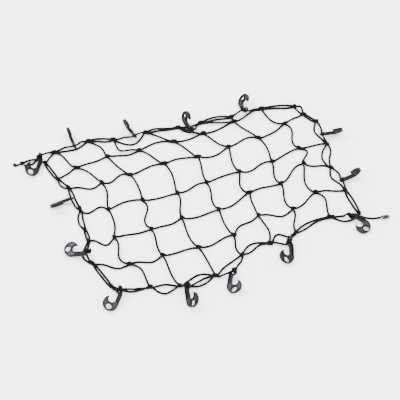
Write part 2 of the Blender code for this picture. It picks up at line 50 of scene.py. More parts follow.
# ---- driving sizes, in metres ----------------------------------------------------------------------
CORD = 0.005              # elastic cord, diameter
FLUFF = 0.0006            # the loose fibres of its sheath add this much to it
CORD_SIDES = 12           # corners round a cord
CORD_STEP = 0.0026        # length of one modelled step of cord
LEAST_STEPS = 6           # steps of the shortest span
KNOT = 0.0098             # widest turn of a knot in the solids
HEX = math.cos(math.pi / 6)      # a six-sided cord's half height, as a share of its radius
CORD_REST = (CORD + FLUFF) / 2   # a cord's middle line where it lies on the floor
KNOT_REST = KNOT / 2 * HEX
SAG_POWER = 4             # how sharply a cord comes down from its knot to the floor
CROSS_LIFT = 0.004        # how far the cross cords arch off the floor between knots
STRAND_APART = 0.0024     # half the distance between the two border strands where they leave a knot
THREAD_RUN = 0.0085       # straight run of a threaded strand each side of the eye's middle
THREAD_SLANT = 0.35       # how far that run leans from the eye's axis along the border
HAIRPIN = 0.040           # a shorter span turns back on itself at the hook
HAIRPIN_SLANT = 0.1
EYE_SEAT = 0.0008         # the strand bears on the far side of the ring, this far from its middle
HAIRPIN_SEAT = 0.0014
EYE_CLEAR = 0.018         # a threaded strand's other points keep this far from the eye's middle
HAIRPIN_CLEAR = 2         # times as far where the span is so short
LYING_AXIS = 0.75         # upright share of an eye's axis from which its strand is led over the ring
SHOULDER_OUT = 0.0125     # that strand then clears the ring by a point this far from its middle
SHOULDER_UP = 0.0063      # and this far above it

HOOK_BODY_R = 0.0190      # outer radius of the hook's bend
HOOK_HOLE_R = 0.0073      # small round hole in the bend
HOOK_HOLE_X = 0.0092      # its centre, from the bend's centre towards the toe
HOOK_MOUTH_R = 0.0086     # round mouth that a rail or bar goes into
HOOK_MOUTH = (-0.0107, 0.0012)
HOOK_BACK_TURN = -95      # where the bend leaves the shank's back, degrees round the bend from the toe
HOOK_TIP_TURN = 152       # where the tip ends
HOOK_THROAT_TURN = -90    # where the mouth runs into the shank, degrees round the mouth
EYE_TURNS = (-20, -110)   # part of the eye's ring that the shank's outline follows
HOLE_TURNS = (360, 12)    # the hole's ring, its last point one step short of the first
TIP_BLUNT = 8             # degrees by which the rim's middle line stops short of the tip
HOOK_TIP_INNER = 128      # the tip's inner corner, degrees round the mouth
HOOK_EYE = (-0.0387, -0.0045)
HOOK_BACK = [(-0.0412, -0.0122), (-0.0360, -0.0156), (-0.0290, -0.0172)]   # shank's back, from the eye
EYE_RING_R = 0.0064       # ring that the border cord is threaded through, to the wire's centre
EYE_WIRE_R = 0.0026
HOOK_RIM = 0.0020         # width of the raised rim
HOOK_FLANGE = 0.0078      # height of the rim, which stands out past the web on both sides
HOOK_WEB = 0.0026         # thickness of the web between the rims
RIB_WIDE = 0.0011         # ribs along the shank, a little lower than the rim
RIB_DROP = 0.0003
HOOK_EDGE = 0.0004        # rounding of the rim's edges
RIB_EDGE_STEPS = 2
EYE_STEPS = (36, 14)      # round the eye's ring and round its wire
SEAM = 0.00001            # points closer than this are one
HOOK_SMOOTH = math.radians(32)   # edges sharper than this stay sharp
CLIP_SMOOTH = math.radians(40)
TURN_SINK = 0.0005        # how far the cord's turns about an eye press on its wire
TURN_COUNT = 1.6          # turns about each such eye
TURN_PITCH = 0.0047       # from one turn to the next
GAP = 0.0003              # between the cord's end and the clip
CLIP_LENGTH = 0.022
CLIP_WIDE = 0.0105
CLIP_ROUND = 10           # bevel resolution of the clip's barrel
UP = Vector((0.0, 0.0, 1.0))

# ---- board on which the lay is read ----------------------------------------------------------------
SQUARE = 0.00255          # one square of the board, at its middle
VIEW_REACH = 3.6          # from the viewpoint to the board's middle
VIEW_SLANT = math.radians(49.8)
BOARD_MID = (200.0, 200.0)
LAY_TURN = math.radians(-24.6)
BOARD_WIDE = 400          # squares across the whole board
SENSOR = 36.0             # camera sensor, in millimetres

# Knots: name, u and v where the strands enter, u and v where they leave.
MESH_KNOTS = [
    ("A1", 72.5, 167.5, 77.0, 167.5), ("A2", 99.5, 181.5, 103.0, 183.0),
    ("A3", 106.5, 209.0, 110.0, 209.5), ("A4", 111.5, 237.0, 116.0, 237.0),
    ("A5", 126.5, 264.5, 130.5, 263.0), ("B1", 103.0, 155.8, 109.5, 156.5),
    ("B2", 126.5, 174.0, 133.0, 175.0), ("B3", 141.0, 198.0, 143.5, 201.0),
    ("B4", 149.0, 228.0, 153.0, 229.5), ("B5", 159.5, 254.0, 165.0, 256.0),
    ("C1", 136.5, 150.0, 141.0, 150.0), ("C2", 158.5, 163.0, 168.0, 163.5),
    ("C3", 174.5, 192.5, 179.0, 192.5), ("C4", 179.5, 216.0, 183.5, 219.0),
    ("C5", 195.0, 246.5, 201.0, 247.5), ("D1", 168.5, 141.0, 177.0, 141.5),
    ("D2", 193.5, 156.5, 200.5, 156.5), ("D3", 204.5, 181.0, 208.0, 183.0),
    ("D4", 216.0, 209.0, 220.5, 209.0), ("D5", 229.0, 233.0, 236.5, 236.5),
    ("E1", 197.5, 133.3, 206.0, 133.0), ("E2", 224.5, 146.0, 231.0, 147.0),
    ("E3", 236.5, 171.0, 241.0, 171.5), ("E4", 243.0, 193.0, 253.0, 192.0),
    ("E5", 256.0, 214.5, 259.5, 215.5), ("F1", 230.0, 121.0, 236.5, 121.5),
    ("F2", 256.5, 136.8, 261.0, 138.8), ("F3", 268.5, 159.5, 274.0, 162.5),
    ("F4", 277.5, 183.5, 283.5, 183.0), ("F5", 290.0, 208.5, 295.0, 208.5),
    ("G2", 280.0, 124.0, 287.5, 123.0), ("G3", 296.0, 147.5, 300.0, 148.0),
    ("G4", 301.0, 162.0, 305.0, 164.0), ("G5", 311.5, 192.8, 316.5, 191.5),
]
# Border knots, clockwise from the back left corner.
BORDER_KNOTS = [
    ("back0", 46.0, 164.5, 43.5, 161.5), ("back1", 50.0, 153.5, 56.0, 151.5),
    ("back2", 83.0, 142.0, 90.0, 140.5), ("back3", 110.0, 139.0, 116.0, 140.0),
    ("back4", 141.0, 132.0, 148.0, 132.5), ("back5", 172.5, 127.5, 181.0, 127.5),
    ("back6", 197.0, 124.0, 202.0, 122.0), ("back7", 228.5, 116.8, 233.5, 117.0),
    ("back8", 256.5, 109.3, 263.0, 108.0), ("right0", 292.5, 105.5, 295.5, 107.0),
    ("right1", 301.0, 113.0, 305.5, 115.5), ("right2", 312.5, 121.0, 318.0, 121.5),
    ("right3", 324.5, 141.5, 328.0, 146.0), ("right4", 327.5, 165.0, 332.5, 169.0),
    ("right5", 344.0, 188.5, 346.0, 192.0), ("right6", 357.5, 211.0, 359.5, 214.5),
    ("front1", 338.0, 217.5, 325.0, 216.5), ("front2", 297.0, 230.0, 293.0, 235.5),
    ("front4", 274.0, 244.0, 266.0, 242.5), ("front5", 244.0, 251.5, 240.5, 256.5),
    ("front6", 221.0, 276.5, 211.5, 274.5), ("front7", 181.5, 285.5, 177.5, 285.5),
    ("front8", 153.0, 286.8, 147.0, 286.5), ("front9", 112.5, 287.5, 110.0, 285.5),
    ("left1", 96.0, 266.0, 89.0, 261.5), ("left2", 88.0, 243.0, 88.0, 239.5),
    ("left3", 85.0, 231.0, 84.0, 228.0), ("left4", 81.0, 213.5, 78.5, 206.0),
    ("left5", 70.0, 190.0, 66.5, 186.0), ("left6", 60.0, 181.5, 55.5, 177.5),
]

# Mesh cords: from a knot's leaving end to the next knot's entering end ("~" takes the other end).
# Columns: from, to, bow and sway.  bow is the bulge at the middle and sway the S on top of it, in
# squares to the left of the way.
LONG_SPANS = [
    ("left6", "A1", -1.0, 0.2), ("A1", "B1", -0.6, 0.6), ("B1", "C1", -2.0, 0.8),
    ("C1", "D1", 3.1, -0.2), ("D1", "E1", -2.0, 0.0), ("E1", "F1", -1.8, -0.3),
    ("F1", "back8", 0.5, -0.8), ("~left5", "A2", -2.9, 2.0), ("A2", "B2", 0.3, -2.2),
    ("B2", "C2", 1.4, -0.5), ("C2", "D2", 2.0, 0.4), ("D2", "E2", -4.3, 0.0), ("E2", "F2", 3.0, -1.0),
    ("F2", "G2", -1.8, 0.3), ("G2", "right1", 0.9, 0.4), ("~left4", "A3", 0.5, -2.7),
    ("A3", "B3", 2.8, 0.0), ("B3", "C3", -1.3, -0.2), ("C3", "D3", 0.0, -1.2), ("D3", "E3", 1.0, 0.0),
    ("E3", "F3", -1.4, -1.7), ("F3", "G3", 0.6, -0.2), ("G3", "right3", 0.1, -0.4),
    ("left2", "A4", -4.8, 2.8), ("A4", "B4", -0.9, 0.6), ("B4", "C4", -1.9, 0.8),
    ("C4", "D4", -2.2, -0.5), ("D4", "E4", -3.0, -0.4), ("E4", "F4", 1.1, 0.6),
    ("F4", "G4", 1.5, -1.3), ("G4", "right4", -0.7, -0.9), ("~left1", "A5", -2.5, 2.0),
    ("A5", "B5", -2.9, 1.8), ("B5", "C5", 0.0, -0.5), ("C5", "D5", -1.6, -1.0), ("D5", "E5", 2.2, 2.0),
    ("E5", "F5", -3.9, 2.1), ("F5", "G5", -2.1, -0.6), ("G5", "right5", 0.6, 0.7),
    ("back5", "E1", -1.5, -0.6),
]
CROSS_SPANS = [
    ("back1", "A1", 1.5, 0.9), ("A1", "A2", 2.5, 0.5), ("A2", "A3", 2.1, 0.9), ("A3", "A4", 3.0, -0.3),
    ("A4", "A5", -3.6, 2.6), ("A5", "~front8", 4.9, 1.1), ("back2", "B1", 3.5, -0.6),
    ("B1", "B2", -1.1, 0.0), ("B2", "B3", 1.6, 0.0), ("B3", "B4", -1.1, 3.2), ("B4", "B5", -0.7, 0.8),
    ("B5", "~front7", -1.6, 0.5), ("back3", "C1", -6.0, -2.3), ("C1", "C2", 0.9, 0.4),
    ("C2", "C3", 2.4, 0.4), ("C3", "C4", 0.7, 1.0), ("C4", "C5", -2.6, 0.4),
    ("C5", "~front6", 0.5, 0.0), ("back4", "D1", 0.5, 0.2), ("D1", "D2", 0.7, 0.2),
    ("D2", "D3", -0.5, 0.5), ("D3", "D4", -1.4, 1.3), ("D4", "D5", -1.9, 0.0),
    ("D5", "~front5", -2.9, 0.8), ("E1", "E2", -1.3, 0.5),
    ("E2", "E3", -2.4, 0.4), ("E3", "E4", -4.0, 0.7), ("E4", "E5", -1.0, -0.4),
    ("E5", "~front4", 3.8, -0.9), ("back6", "F1", -0.3, 0.3), ("F1", "F2", -0.5, -0.4),
    ("F2", "F3", 2.3, 0.0), ("F3", "F4", -2.7, 0.8), ("F4", "F5", -3.3, 1.1),
    ("F5", "front2", -0.5, 1.2), ("back8", "G2", -3.8, 0.4), ("G2", "G3", 0.5, 2.5),
    ("G3", "G4", 6.0, 2.2), ("G4", "G5", -4.8, 0.9), ("G5", "~front1", 4.3, 1.8),
]
# Border cord, clockwise, so that a bow is outwards.  Each row is one strand of the two or three.
# Columns: from, to, bow, sway, number of the hook that the strand is threaded through or 0.
BORDER_SPANS = [
    ("back0", "back1", 7.0, 0.0, 1), ("back0", "back1", -0.4, 0.0, 0),
    ("back1", "back2", 1.8, -0.5, 2), ("back1", "back2", -3.3, 0.8, 0),
    ("back2", "back3", 1.9, 0.2, 0), ("back2", "back3", -0.9, 0.6, 0),
    ("back3", "back4", 0.5, -0.8, 3), ("back3", "back4", -8.6, 0.8, 0),
    ("back4", "back5", 1.8, 0.8, 0), ("back4", "back5", -0.2, 0.2, 0),
    ("back5", "back6", -1.0, 0.0, 0), ("back5", "back6", -2.7, 0.0, 4),
    ("back6", "back7", 3.2, 0.0, 0), ("back6", "back7", 0.5, 0.1, 0), ("back7", "back8", 3.1, 0.4, 5),
    ("back7", "~F1", -0.6, 0.0, 0), ("back8", "right0", 2.0, -0.1, 0),
    ("back8", "right0", -0.6, 0.4, 0), ("right0", "right1", 3.6, 0.8, 0),
    ("right0", "right1", -1.0, 0.0, 0), ("right1", "right2", 1.2, 0.0, 0),
    ("right1", "right2", -1.0, 0.0, 0), ("right2", "right3", 0.9, 0.2, 6),
    ("right2", "right3", -5.0, -1.5, 0), ("right3", "right4", 1.4, 1.2, 0),
    ("right3", "right4", -6.6, 0.0, 0), ("right4", "right5", 3.5, 0.3, 7),
    ("right4", "right5", -3.4, -2.0, 0), ("right5", "right6", 1.9, 0.0, 0),
    ("right5", "right6", -1.6, -0.2, 0), ("right6", "front1", 5.5, 0.0, 0),
    ("right6", "front1", 0.0, 0.0, 8), ("front1", "front2", -0.9, -1.0, 0),
    ("front1", "front2", -3.8, 0.3, 0), ("front2", "front4", -4.5, 3.2, 0),
    ("front2", "front4", 1.0, 0.0, 9), ("front4", "front5", -1.0, -1.6, 0),
    ("front4", "front5", -5.6, 0.7, 0), ("front5", "front6", 4.8, 1.2, 10),
    ("front5", "front6", -2.2, 0.6, 0), ("front6", "front7", -5.4, -0.8, 0),
    ("front6", "front7", 0.3, 0.0, 11), ("front6", "front7", 5.5, 0.4, 0),
    ("front7", "front8", -2.0, 0.0, 0), ("front7", "front8", 7.0, -0.5, 0),
    ("front8", "front9", 2.2, -0.5, 12), ("front8", "front9", 4.6, 0.2, 0),
    ("front9", "left1", 1.5, 0.0, 0), ("front9", "left1", -1.2, 0.0, 0),
    ("left1", "left2", 7.5, 1.0, 0), ("left1", "left2", 4.0, 0.8, 13), ("left2", "left3", 1.0, 0.0, 0),
    ("left2", "left3", -1.8, 0.0, 0), ("left3", "left4", 4.4, 0.0, 0),
    ("left3", "left4", -0.4, 0.0, 0), ("left4", "left5", 3.8, 0.5, 14),
    ("left4", "left5", -0.6, 0.3, 0), ("left5", "left6", 3.0, 0.0, 0),
    ("left5", "left6", -0.8, 0.0, 0), ("left6", "back0", 1.5, 0.0, 0),
    ("left6", "back0", -1.2, 0.0, 0),
]

# Hooks: number, u and v of the eye, u and v of the toe, side of the mouth (+1 left of the way from
# eye to toe), lean in degrees of the mouth side off the floor, dip in degrees of the toe, and how
# many mm above the floor it rests, on a cord that it lies across.  Most of these numbers come from
# a least-squares fit to points read off, and not from readings themselves.
HOOKS = [
    (1, 38.8, 156.9, 29.3, 173.1, -1, 27.0, 12.0, 0.0),
    (2, 74.0, 144.8, 67.2, 129.3, -1, 96.0, 0.0, 0.0),
    (3, 134.3, 134.6, 123.4, 120.4, -1, 103.0, 3.0, 0.0),
    (4, 191.6, 129.0, 181.9, 114.3, -1, 72.0, -4.5, 4.8),
    (5, 245.4, 109.4, 240.2, 93.8, -1, 48.0, 9.0, 0.0),
    (6, 322.0, 133.0, 342.3, 126.8, 1, 120.0, 12.0, 0.0),
    (7, 341.4, 178.8, 360.1, 169.5, 1, 104.0, 3.0, 0.0),
    (8, 351.8, 215.7, 370.9, 227.8, -1, -8.0, 8.0, 0.0),
    (9, 288.4, 242.7, 287.7, 261.8, -1, 24.0, 8.0, 0.0),
    (10, 233.4, 271.8, 231.6, 291.5, 1, 22.0, 8.0, 0.0),
    (11, 187.7, 285.4, 192.5, 305.1, 1, 49.0, 12.0, 0.0),
    (12, 118.5, 290.0, 107.3, 308.4, -1, 20.0, 12.0, 0.0),
    (13, 85.7, 250.4, 62.0, 247.4, -1, 18.0, 12.0, 0.0),
    (14, 70.4, 198.2, 48.4, 205.7, 1, 44.0, 3.0, 0.0),
]
# Loose ends of the border cord: u, v and height in mm of points along them, from the net outwards.
LEFT_TAILS = [
    [(38.4, 157.9, 6.0), (34.2, 159.1, 2.5), (31.0, 159.4, 2.2), (27.0, 160.4, 2.2), (23.8, 161.8, 3.4),
     (21.4, 163.1, 4.2)],
    [(38.0, 158.7, 6.0), (34.8, 161.2, 2.5), (32.0, 163.5, 2.2), (28.5, 164.8, 2.2), (25.6, 165.3, 3.2),
     (23.6, 164.9, 4.2)],
    [(22.0, 163.6, 4.2), (19.5, 163.7, 2.6), (16.8, 164.6, 2.2), (14.8, 165.6, 2.6)],
]
LEFT_TAIL_KNOTS = [((25.4, 165.6), (20.4, 162.5)), ((15.6, 165.2), (12.8, 166.2))]
RIGHT_TAIL = [(359.8, 215.5, 3.0), (363.5, 216.8, 2.2), (367.0, 217.5, 2.2), (373.0, 218.0, 2.2),
              (380.0, 217.0, 4.2)]

KNOT_INSET = 0.35         # how far a cord's bulge reaches into a knot, as a share of its length
KNOT_DEPTH = 0.55         # how far the cord itself reaches in
BESIDE_SHARE = 0.12       # share of a mesh cord over which it closes up to its partner at a knot
BORDER_SHARES = (0.0, 0.15, 0.38, 0.62, 0.85, 1.0)
ARC_STEP = 9              # degrees between the points of an arc
WRAP_R = 0.0023           # radius of a knot's winding, to the cord's middle line
WRAP_PITCH = 0.0046       # length of knot that one turn takes
WRAP_SLANT = 0.0009       # how far each turn slants
WRAP_LEAST_TURNS = 1.6
WRAP_STEPS = 16           # steps in one turn
WRAP_TUCK = 0.14          # share of the winding at each end that tucks in
WRAP_TUCKED = 0.25        # share of its radius that is left at the very end
WRAP_SHARES = (0.15, 0.88)       # stretch of a knot that is wound
LONG_KNOT = 0.017                # a longer knot is wound less of its way
LONG_WRAP_SHARES = (0.35, 0.90)

# Ribs of the shank: x and y of both ends on the hook's plan.
RIBS = [
    (-0.0305, -0.0104, -0.0095, -0.0108), (-0.0320, -0.0134, -0.0075, -0.0146),
]

# Hooks whose eyes the border cord is also wound about.
TURNED_HOOKS = (1, 8, 9, 10, 11, 12, 13)

# Paleness of the hooks' webs, hook by hook: a painted reflection of the overhead light, stronger on hooks
# whose faces tilt up towards it.
HOOK_REFLECTION_TONES = (0.4, 0.6, 0.6, 0.6, 0.7, 0.7, 0.5, 0.9, 0.3, 1.2, 0.9, 1.1, 1.9, 0.8)

# Clip: share of its length and share of its full width.
CLIP_PROFILE = [
    (0.0, 0.62), (0.02, 0.74), (0.10, 0.80), (0.13, 0.72), (0.17, 0.72), (0.20, 0.92), (0.30, 1.0),
    (0.52, 1.0), (0.56, 0.93), (0.60, 1.0), (0.66, 1.0), (0.70, 0.93), (0.74, 1.0), (0.88, 0.97),
    (0.96, 0.80), (1.0, 0.60),
]

# Studio: name, place seen from the viewer's side, size across and power of each light.
LIGHTS = [
    ("key", (-1.6, 0.9, 2.6), 1.8, 95.0), ("fill", (1.2, -1.8, 2.4), 2.4, 20.0),
]
WORLD_STRENGTH = 4.5
FLOOR_SIZE = 12.0
FLOOR_DROP = 0.0002       # the floor lies this far under the net
SIGHT_END = 20.0          # how far the camera sees
HALF_SQUARE = 0.5         # a reading names a square's middle

# ---- look of the surfaces --------------------------------------------------------------------------
CORD_DARK = (0.0006, 0.0006, 0.0007, 1.0)
CORD_LIGHT = (0.0042, 0.0041, 0.0048, 1.0)
PLAITS = 8                # strands of the braid each way round
PLAIT_PITCH = 0.0085      # length of cord in which a plait goes once round
HOOK_RIM_COLOR = (0.0010, 0.0010, 0.0013, 1.0)
# the web's paler grey is a painted reflection of the overhead light on the black plastic
HOOK_WEB_REFLECTION_COLOR = (0.026, 0.024, 0.033, 1.0)
HOOK_SCUFF_COLOR = (0.060, 0.057, 0.070, 1.0)
CLIP_COLOR = (0.006, 0.005, 0.005, 1.0)
CLIP_SPECK_COLOR = (0.42, 0.38, 0.32, 1.0)
FLOOR_COLOR = (0.96, 0.96, 0.965, 1.0)
WHITE = (1.0, 1.0, 1.0, 1.0)
CORD_SHINE = 0.05         # specular levels
PLASTIC_SHINE = 0.10
FLOOR_SHINE = 0.10
FLOOR_ROUGHNESS = 0.9
WEAR_SCALE = 90.0         # scales of the noises
FIBRE_SCALE = 2600.0
CLOUD_SCALE = 140.0
GRAIN_SCALE = 2400.0
SCUFF_SCALE = 420.0
SPECK_SCALE = 260.0
CLIP_GRAIN_SCALE = 1800.0
WEAR_SHARE = 0.45         # share of wear in the cord's shade, which its plaits make otherwise
FIBRE_SHARE = 0.25        # height of the fibres against that of the plaits
CORD_ROUGHNESS = 0.86
PLAIT_SHEEN = 0.22        # how much smoother the top of a plait is
RIM_REFLECTION_SHARE = 0.5      # how far a hook's rim follows its web's painted reflection
CLOUD_SHARE = 0.25        # how uneven the web's color is
SCUFF_FROM = 0.56         # noise above which the plastic is scuffed
SCUFF_WIDTH = 0.10
SCUFF_SHARE = 0.25
RIM_ROUGHNESS = 0.36
WEB_ROUGHER = 0.20
CLOUD_ROUGHER = 0.10
RIM_GRAIN = 0.35          # share of the web's grain that the rim has
SPECK_FROM = 0.60
SPECK_WIDTH = 0.04
CLIP_ROUGHNESS = 0.45
SPECK_ROUGHER = 0.3
CORD_RELIEF = (0.6, 0.0003)      # strength of each relief and its height in metres
HOOK_RELIEF = (0.25, 0.0002)
CLIP_RELIEF = (0.2, 0.0002)


# ---- shader helpers --------------------------------------------------------------------------------
class Value:
    """A shader socket that takes part in Python arithmetic through Math nodes."""

    def __init__(self, tree, socket):
        self.tree = tree
        self.socket = socket

    def math(self, operation, *others, clamp=False):
        node = self.tree.nodes.new("ShaderNodeMath")
        node.operation = operation
        node.use_clamp = clamp
        for slot, item in zip(node.inputs, (self, *others)):
            if isinstance(item, Value):
                self.tree.links.new(item.socket, slot)
            else:
                slot.default_value = item
        return Value(self.tree, node.outputs[0])

    def __add__(self, other):
        return self.math("ADD", other)

    def __sub__(self, other):
        return self.math("SUBTRACT", other)

    def __mul__(self, other):
        return self.math("MULTIPLY", other)

    def __truediv__(self, other):
        return self.math("DIVIDE", other)

    def __rsub__(self, other):
        return self.math("MULTIPLY", -1.0) + other

    __radd__ = __add__

    def sine(self):
        return self.math("SINE")

    def over(self, limit, width):
        """0 below the limit, rising to 1 over the width."""
        return ((self - limit) / width).math("ADD", 0.0, clamp=True)


class Finish:
    """A material with one Principled shader, and one method for every other node."""

    def __init__(self, name, **constants):
        self.material = bpy.data.materials.new(name)
        self.material.use_nodes = True
        self.tree = self.material.node_tree
        self.shader = self.tree.nodes["Principled BSDF"]
        self.feed(**constants)

    def put(self, slot, value):
        if isinstance(value, Value):
            self.tree.links.new(value.socket, slot)
        else:
            slot.default_value = value

    def feed(self, **sockets):
        """Sets or links the shader's own sockets."""
        for name, value in sockets.items():
            self.put(self.shader.inputs[name.replace("_", " ")], value)

    def node(self, kind, inputs, out=0, **settings):
        """Adds a node, sets it, feeds its inputs by name or number and gives one of its outputs."""
        node = self.tree.nodes.new(kind)
        for name, value in settings.items():
            setattr(node, name, value)
        for name, value in inputs.items():
            self.put(node.inputs[name], value)
        return Value(self.tree, node.outputs[out])

    def mix(self, factor, first, second):
        return self.node("ShaderNodeMix", {0: factor, 6: first, 7: second}, out=2, data_type="RGBA")

    def noise(self, scale, detail=3.0, roughness=0.5):
        place = self.node("ShaderNodeTexCoord", {}, out="Object")
        inputs = {"Vector": place, "Scale": scale, "Detail": detail, "Roughness": roughness}
        return self.node("ShaderNodeTexNoise", inputs)

    def relief(self, height, strength, distance):
        inputs = {"Height": height, "Strength": strength, "Distance": distance}
        self.feed(Normal=self.node("ShaderNodeBump", inputs))


def braided_cord():
    """Black elastic cord: a fine two-way braid with a little sheen and short loose fibres."""
    finish = Finish("braided cord", Specular_IOR_Level=CORD_SHINE)
    lay = finish.node("ShaderNodeAttribute", {}, out="Vector", attribute_name="lay")
    cosine, sine, along = (finish.node("ShaderNodeSeparateXYZ", {0: lay}, out=axis) for axis in "XYZ")
    turn = sine.math("ARCTAN2", cosine) * (PLAITS / 2)
    run = along * (math.pi * PLAITS / PLAIT_PITCH)
    plaits = ((turn + run).sine() * (turn - run).sine() + 1.0) * 0.5
    shade = plaits * (1 - WEAR_SHARE) + finish.noise(WEAR_SCALE) * WEAR_SHARE
    finish.feed(Base_Color=finish.mix(shade, CORD_DARK, CORD_LIGHT),
                Roughness=CORD_ROUGHNESS - plaits * PLAIT_SHEEN)
    finish.relief(plaits + finish.noise(FIBRE_SCALE) * FIBRE_SHARE, *CORD_RELIEF)
    return finish.material


def toned(color, reflection_tone):
    """The color made paler or darker."""
    return tuple(part * reflection_tone for part in color[:3]) + (1.0,)


def moulded_plastic(reflection_tone):
    """Moulded black plastic: polished dark rims and a grainy web, the web painted paler hook by hook as a
    painted reflection of the overhead light.
    """
    finish = Finish("moulded plastic", Specular_IOR_Level=PLASTIC_SHINE)
    web = finish.node("ShaderNodeAttribute", {}, out="Fac", attribute_name="web")
    cloud = finish.noise(CLOUD_SCALE)
    grain = finish.noise(GRAIN_SCALE, detail=2.0)
    scuff = finish.noise(SCUFF_SCALE, detail=5.0, roughness=0.65).over(SCUFF_FROM, SCUFF_WIDTH)
    # painted reflection: the web, and in part the rim, are painted paler hook by hook for the overhead
    # light they catch
    rim_color = toned(HOOK_RIM_COLOR, 1 - RIM_REFLECTION_SHARE + reflection_tone * RIM_REFLECTION_SHARE)
    painted_reflection = web * (1 - CLOUD_SHARE + cloud * CLOUD_SHARE)
    plain = finish.mix(painted_reflection, rim_color, toned(HOOK_WEB_REFLECTION_COLOR, reflection_tone))
    finish.feed(Base_Color=finish.mix(scuff * SCUFF_SHARE, plain, HOOK_SCUFF_COLOR),
                Roughness=RIM_ROUGHNESS + web * WEB_ROUGHER + cloud * CLOUD_ROUGHER)
    finish.relief(grain * (RIM_GRAIN + web * (1 - RIM_GRAIN)), *HOOK_RELIEF)
    return finish.material


def speckled_plastic():
    """The clip's black plastic, with pale rubbed specks."""
    finish = Finish("speckled plastic", Specular_IOR_Level=PLASTIC_SHINE)
    specks = finish.noise(SPECK_SCALE, detail=2.0).over(SPECK_FROM, SPECK_WIDTH)
    finish.feed(Base_Color=finish.mix(specks, CLIP_COLOR, CLIP_SPECK_COLOR),
                Roughness=CLIP_ROUGHNESS + specks * SPECK_ROUGHER)
    finish.relief(finish.noise(CLIP_GRAIN_SCALE), *CLIP_RELIEF)
    return finish.material


def floor_paper():
    """Pale matt floor."""
    finish = Finish("floor", Base_Color=FLOOR_COLOR, Roughness=FLOOR_ROUGHNESS,
                    Specular_IOR_Level=FLOOR_SHINE)
    return finish.material


# ---- the board and the routes ----------------------------------------------------------------------
def on_board(u, v, z=0.0):
    """The point at height z seen on the board at (u, v), before it is moved into the frame."""
    reach_squares = VIEW_REACH / SQUARE
    across = u - BOARD_MID[0]
    down = v - BOARD_MID[1]
    sin_slant = math.sin(VIEW_SLANT)
    cos_slant = math.cos(VIEW_SLANT)
    ray = (VIEW_REACH * sin_slant - z) / (reach_squares * sin_slant + down * cos_slant)
    x = ray * across
    y = ray * (reach_squares * cos_slant - down * sin_slant) - VIEW_REACH * cos_slant
    return Matrix.Rotation(LAY_TURN, 3, "Z") @ Vector((x, y, 0.0)) + UP * z


def clip_axis(tail_points):
    """First and last point of the clip's middle line, which carries on from the tail."""
    before, cord_end = tail_points[-2:]
    along = (cord_end - before).to_2d().normalized().to_3d()
    first = cord_end + along * (GAP + CORD / 2 * abs((cord_end - before).normalized().z))
    first.z = CLIP_WIDE / 2
    return first, first + along * CLIP_LENGTH


def board_shift():
    """From the board's middle to the frame's origin, found by the clip's solid."""
    first, last = clip_axis([on_board(u, v, height / 1000) for u, v, height in RIGHT_TAIL])
    low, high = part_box("end_clip")
    shift = (Vector(low) + Vector(high)) / 2 - (first + last) / 2
    return Vector((shift.x, shift.y, 0.0))


BOARD_SHIFT = board_shift()


def on_floor(u, v, z=0.0):
    """The point at height z seen on the board at (u, v), in the frame."""
    return on_board(u, v, z) + BOARD_SHIFT


def knot_table():
    """Board readings of both ends of each knot."""
    return {name: ((u_in, v_in), (u_out, v_out))
            for name, u_in, v_in, u_out, v_out in MESH_KNOTS + BORDER_KNOTS}


def span_ends(knots, start, stop):
    """Board readings of a span's two ends, at the edges of its knots, and of the knots' other ends."""
    inner_first, first = knots[start.lstrip("~")]
    last, inner_last = knots[stop.lstrip("~")]
    if start.startswith("~"):
        first, inner_first = inner_first, first
    if stop.startswith("~"):
        last, inner_last = inner_last, last
    return first, last, inner_first, inner_last


def board_bulge(start, stop, bow, sway, share):
    """Board reading a share of the way along a span that bulges by bow and sways by sway."""
    du = stop[0] - start[0]
    dv = stop[1] - start[1]
    length = math.hypot(du, dv)
    aside = bow * math.sin(math.pi * share) + sway * math.sin(2 * math.pi * share)
    return start[0] + du * share + aside * dv / length, start[1] + dv * share - aside * du / length


def cord_height(share, lift):
    """Height of a cord's middle line a share of the way between two knots."""
    fall = abs(2 * share - 1) ** SAG_POWER
    return CORD_REST + (KNOT_REST - CORD_REST) * fall + lift * math.sin(math.pi * share)


def between(near, far, share):
    """A board reading a share of the way from one reading to another."""
    return near[0] + (far[0] - near[0]) * share, near[1] + (far[1] - near[1]) * share


def span_frame(knots, start, stop):
    """A span's ends a little inside its knots, and the readings deeper inside."""
    first, last, inner_first, inner_last = span_ends(knots, start, stop)
    ends = between(first, inner_first, KNOT_INSET), between(last, inner_last, KNOT_INSET)
    deep = between(first, inner_first, KNOT_DEPTH), between(last, inner_last, KNOT_DEPTH)
    return ends, deep


def fine_shares(ends):
    """Even shares along a span, one for every CORD_STEP."""
    steps = max(LEAST_STEPS, round((on_floor(*ends[1]) - on_floor(*ends[0])).length / CORD_STEP))
    return [i / steps for i in range(steps + 1)]


def into_knots(points, deep):
    """The points with the strand's two ends deep inside its knots."""
    return [on_floor(*deep[0], KNOT_REST)] + points + [on_floor(*deep[1], KNOT_REST)]


def mesh_route(knots, span, lift, side):
    """Middle line of one mesh cord, which lies beside its partner where it enters a knot."""
    start, stop, bow, sway = span
    ends, deep = span_frame(knots, start, stop)
    first_way = on_floor(*ends[0]) - on_floor(*deep[0])
    last_way = on_floor(*deep[1]) - on_floor(*ends[1])
    first_side = first_way.normalized().cross(UP) * side
    last_side = last_way.normalized().cross(UP) * -side
    points = []
    for share in fine_shares(ends):
        reading = board_bulge(*ends, bow, sway, share)
        near_first = max(0.0, 1 - share / BESIDE_SHARE)
        near_last = max(0.0, 1 - (1 - share) / BESIDE_SHARE)
        beside = (first_side * near_first + last_side * near_last) * CORD / 2
        points.append(on_floor(*reading, cord_height(share, lift)) - beside)
    return into_knots(points, deep)


